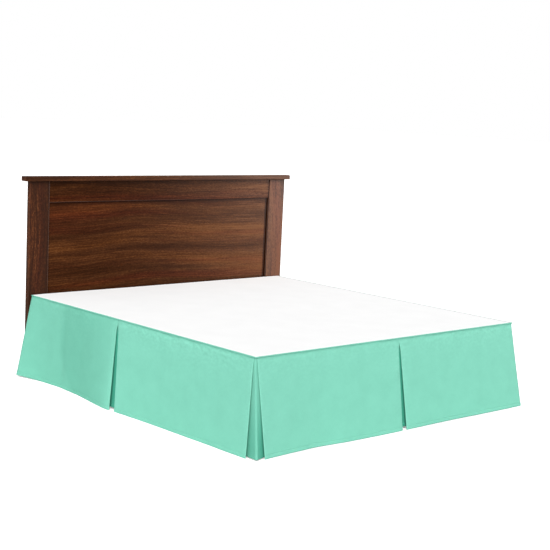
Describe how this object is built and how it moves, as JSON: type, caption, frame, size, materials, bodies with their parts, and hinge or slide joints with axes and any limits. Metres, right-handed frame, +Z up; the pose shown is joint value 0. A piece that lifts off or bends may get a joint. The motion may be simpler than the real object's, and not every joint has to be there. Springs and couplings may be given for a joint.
{
  "type": "bed skirt on a king-size bed with headboard",
  "caption": "Tailored bed skirt with inverted pleats and split corners, hanging to the floor round a plain steel-framed bed with a panelled wooden headboard.",
  "frame": {"origin": "on the floor under the middle of the whole bed's box", "axes": "+Z up; +Y from the foot of the bed to the headboard; +X across the bed, to the right when looking from the foot to the head"},
  "size_m": [2.1338, 2.1539, 1.19],
  "materials": {
    "mint_cloth": "matt brushed microfibre, faintly mottled",
    "white_cloth": "matt plain-woven platform cloth",
    "foundation_cloth": "matt woven ticking",
    "walnut": "satin oiled walnut with straight and cathedral grain",
    "dark_steel": "satin dark powder coat"
  },
  "bodies": {
    "root": {"deck": "white_cloth", "drop_left": "mint_cloth", "drop_foot": "mint_cloth", "drop_right": "mint_cloth", "corner_underlay_left": "mint_cloth", "corner_underlay_right": "mint_cloth", "edge_band_left": "mint_cloth", "edge_band_foot": "mint_cloth", "edge_band_right": "mint_cloth", "foundation_left": "foundation_cloth", "foundation_right": "foundation_cloth", "headboard_post_left": "walnut", "headboard_post_right": "walnut", "headboard_cap": "walnut", "headboard_top_rail": "walnut", "headboard_panel": "walnut", "headboard_low_rail": "walnut", "rail_left": "dark_steel", "rail_centre": "dark_steel", "rail_right": "dark_steel", "crossbar_foot": "dark_steel", "crossbar_middle": "dark_steel", "crossbar_head": "dark_steel", "leg_foot_left": "dark_steel", "leg_foot_centre": "dark_steel", "leg_foot_right": "dark_steel", "leg_middle_left": "dark_steel", "leg_middle_centre": "dark_steel", "leg_middle_right": "dark_steel", "leg_head_left": "dark_steel", "leg_head_centre": "dark_steel", "leg_head_right": "dark_steel", "bracket_left": "dark_steel", "bracket_right": "dark_steel"}
  },
  "joints": []
}
